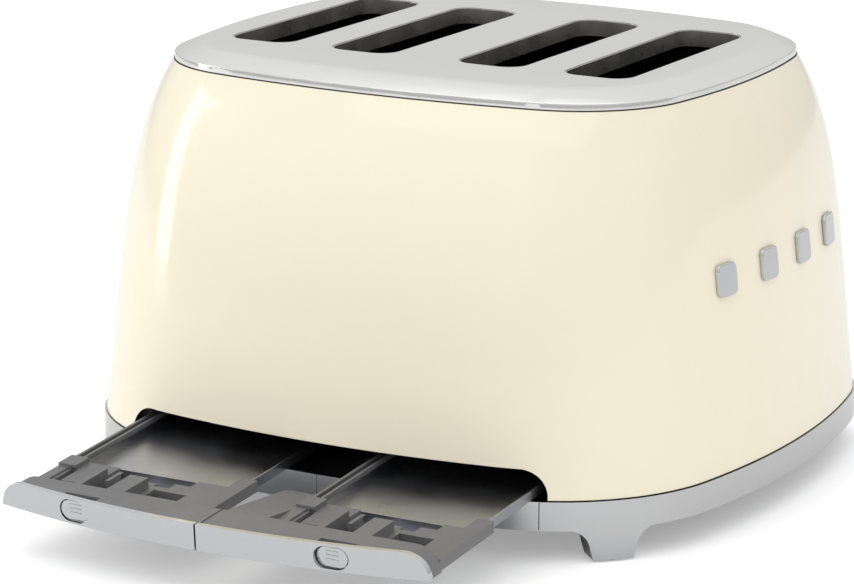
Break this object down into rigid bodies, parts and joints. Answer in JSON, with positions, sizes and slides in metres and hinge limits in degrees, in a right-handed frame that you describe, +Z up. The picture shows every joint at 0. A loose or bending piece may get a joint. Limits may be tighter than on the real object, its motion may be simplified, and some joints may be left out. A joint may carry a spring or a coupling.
{
  "type": "pop-up toaster",
  "caption": "Wide rounded pop-up toaster with long bread slots, a polished skirt with flared feet, and crumb trays that slide out at the rear",
  "frame": {"origin": "on the resting plane, under the middle of the body's outline", "axes": "+Z up; the controls face -Y; the crumb trays slide out towards +Y; +X is on the right of a person facing the controls"},
  "size_m": [0.336, 0.4363, 0.2055],
  "materials": {
    "cream_enamel": "high-gloss baked enamel",
    "brushed_steel": "fine satin grain along the slots",
    "dark_steel": "heat-darkened steel",
    "polished_chrome": "mirror plating",
    "black_rubber": "matt moulded rubber",
    "galvanised_steel": "plain zinc-coated sheet",
    "aluminised_steel": "bright reflective sheet",
    "zinc_steel": "zinc-plated steel",
    "mica": "pressed mica card, flaked sheen",
    "resistance_wire": "oxidised flat resistance wire",
    "copper_winding": "enamelled copper winding on a steel core",
    "circuit_board": "resist-coated board with black components",
    "grey_plastic": "fine-textured moulded plastic",
    "bright_steel": "bright rolled sheet"
  },
  "bodies": {
    "body": {"outer_shell": "cream_enamel", "top_plate": "brushed_steel", "slot_collars": "dark_steel", "base_skirt": "polished_chrome", "foot_pads": "black_rubber", "shell_seal": "black_rubber", "base_pan": "galvanised_steel", "cord_gland": "black_rubber", "base_screws": "zinc_steel", "front_chassis_plate": "galvanised_steel", "rear_chassis_plate": "galvanised_steel", "side_heat_shield_left": "aluminised_steel", "heater_board_inner_left": "mica", "heater_board_middle_left": "mica", "heater_board_outer_left": "mica", "heater_ribbons_left": "resistance_wire", "guide_rod_left": "zinc_steel", "lift_spring_left": "zinc_steel", "hold_magnet_left": "copper_winding", "control_board_left": "circuit_board", "side_heat_shield_right": "aluminised_steel", "heater_board_inner_right": "mica", "heater_board_middle_right": "mica", "heater_board_outer_right": "mica", "heater_ribbons_right": "resistance_wire", "guide_rod_right": "zinc_steel", "lift_spring_right": "zinc_steel", "hold_magnet_right": "copper_winding", "control_board_right": "circuit_board", "tray_guide_rails": "galvanised_steel", "side_badges": "polished_chrome", "lever_escutcheons": "polished_chrome", "dial_rings": "polished_chrome"},
    "lever_left_carriage": {"carriage_left": "zinc_steel", "lever_knob_left": "polished_chrome", "bread_rack_left": "dark_steel"},
    "guards_inner_left": {"bread_guards_inner_left": "dark_steel"},
    "guards_outer_left": {"bread_guards_outer_left": "dark_steel"},
    "browning_knob_left": {"browning_knob_left": "polished_chrome"},
    "defrost_button_left": {"defrost_button_left": "polished_chrome"},
    "reheat_button_left": {"reheat_button_left": "polished_chrome"},
    "bagel_button_left": {"bagel_button_left": "polished_chrome"},
    "tray_left": {"tray_panel_left": "polished_chrome", "tray_carrier_left": "grey_plastic", "tray_pan_left": "bright_steel"},
    "tray_button_left": {"tray_button_left": "polished_chrome"},
    "lever_right_carriage": {"carriage_right": "zinc_steel", "lever_knob_right": "polished_chrome", "bread_rack_right": "dark_steel"},
    "guards_inner_right": {"bread_guards_inner_right": "dark_steel"},
    "guards_outer_right": {"bread_guards_outer_right": "dark_steel"},
    "browning_knob_right": {"browning_knob_right": "polished_chrome"},
    "defrost_button_right": {"defrost_button_right": "polished_chrome"},
    "reheat_button_right": {"reheat_button_right": "polished_chrome"},
    "bagel_button_right": {"bagel_button_right": "polished_chrome"},
    "tray_right": {"tray_panel_right": "polished_chrome", "tray_carrier_right": "grey_plastic", "tray_pan_right": "bright_steel"},
    "tray_button_right": {"tray_button_right": "polished_chrome"}
  },
  "joints": [
    {"name": "lever_left", "type": "slide", "parent": "body", "child": "lever_left_carriage", "axis": [0, 0, -1], "range_m": [0, 0.056], "stiffness_N_per_m": 120, "springref_m": -0.025, "deforming": ["lift_spring_left"]},
    {"name": "guards_inner_slide_left", "type": "slide", "parent": "body", "child": "guards_inner_left", "axis": [-1, 0, 0], "range_m": [0, 0.006]},
    {"name": "guards_outer_slide_left", "type": "slide", "parent": "body", "child": "guards_outer_left", "axis": [1, 0, 0], "range_m": [0, 0.006]},
    {"name": "browning_left", "type": "hinge", "parent": "body", "child": "browning_knob_left", "pos_m": [-0.06161, -0.15343, 0.052], "axis": [-0.1158, -0.985, 0.1276], "range_deg": [-135, 135]},
    {"name": "defrost_press_left", "type": "slide", "parent": "body", "child": "defrost_button_left", "axis": [0.1541, 0.9793, -0.131], "range_m": [0, 0.0015], "stiffness_N_per_m": 400, "springref_m": -0.001},
    {"name": "reheat_press_left", "type": "slide", "parent": "body", "child": "reheat_button_left", "axis": [0.1163, 0.9845, -0.131], "range_m": [0, 0.0015], "stiffness_N_per_m": 400, "springref_m": -0.001},
    {"name": "bagel_press_left", "type": "slide", "parent": "body", "child": "bagel_button_left", "axis": [0.0786, 0.9883, -0.131], "range_m": [0, 0.0015], "stiffness_N_per_m": 400, "springref_m": -0.001},
    {"name": "tray_slide_left", "type": "slide", "parent": "body", "child": "tray_left", "axis": [0, 0.9972, -0.075], "range_m": [-0.104, 0.13]},
    {"name": "tray_button_press_left", "type": "slide", "parent": "tray_left", "child": "tray_button_left", "axis": [0, -0.9972, 0.075], "range_m": [0, 0.002], "stiffness_N_per_m": 300, "springref_m": -0.001},
    {"name": "lever_right", "type": "slide", "parent": "body", "child": "lever_right_carriage", "axis": [0, 0, -1], "range_m": [0, 0.056], "stiffness_N_per_m": 120, "springref_m": -0.025, "deforming": ["lift_spring_right"]},
    {"name": "guards_inner_slide_right", "type": "slide", "parent": "body", "child": "guards_inner_right", "axis": [1, 0, 0], "range_m": [0, 0.006]},
    {"name": "guards_outer_slide_right", "type": "slide", "parent": "body", "child": "guards_outer_right", "axis": [-1, 0, 0], "range_m": [0, 0.006]},
    {"name": "browning_right", "type": "hinge", "parent": "body", "child": "browning_knob_right", "pos_m": [0.06161, -0.15343, 0.052], "axis": [0.1158, -0.985, 0.1276], "range_deg": [-135, 135]},
    {"name": "defrost_press_right", "type": "slide", "parent": "body", "child": "defrost_button_right", "axis": [-0.0786, 0.9883, -0.131], "range_m": [0, 0.0015], "stiffness_N_per_m": 400, "springref_m": -0.001},
    {"name": "reheat_press_right", "type": "slide", "parent": "body", "child": "reheat_button_right", "axis": [-0.1163, 0.9845, -0.131], "range_m": [0, 0.0015], "stiffness_N_per_m": 400, "springref_m": -0.001},
    {"name": "bagel_press_right", "type": "slide", "parent": "body", "child": "bagel_button_right", "axis": [-0.1541, 0.9793, -0.131], "range_m": [0, 0.0015], "stiffness_N_per_m": 400, "springref_m": -0.001},
    {"name": "tray_slide_right", "type": "slide", "parent": "body", "child": "tray_right", "axis": [0, 0.9972, -0.075], "range_m": [-0.104, 0.13]},
    {"name": "tray_button_press_right", "type": "slide", "parent": "tray_right", "child": "tray_button_right", "axis": [0, -0.9972, 0.075], "range_m": [0, 0.002], "stiffness_N_per_m": 300, "springref_m": -0.001}
  ],
  "couplings": [
    {"joint": "guards_inner_slide_left", "follows": "lever_left", "ratio": 0.107},
    {"joint": "guards_outer_slide_left", "follows": "lever_left", "ratio": 0.107},
    {"joint": "guards_inner_slide_right", "follows": "lever_right", "ratio": 0.107},
    {"joint": "guards_outer_slide_right", "follows": "lever_right", "ratio": 0.107}
  ]
}
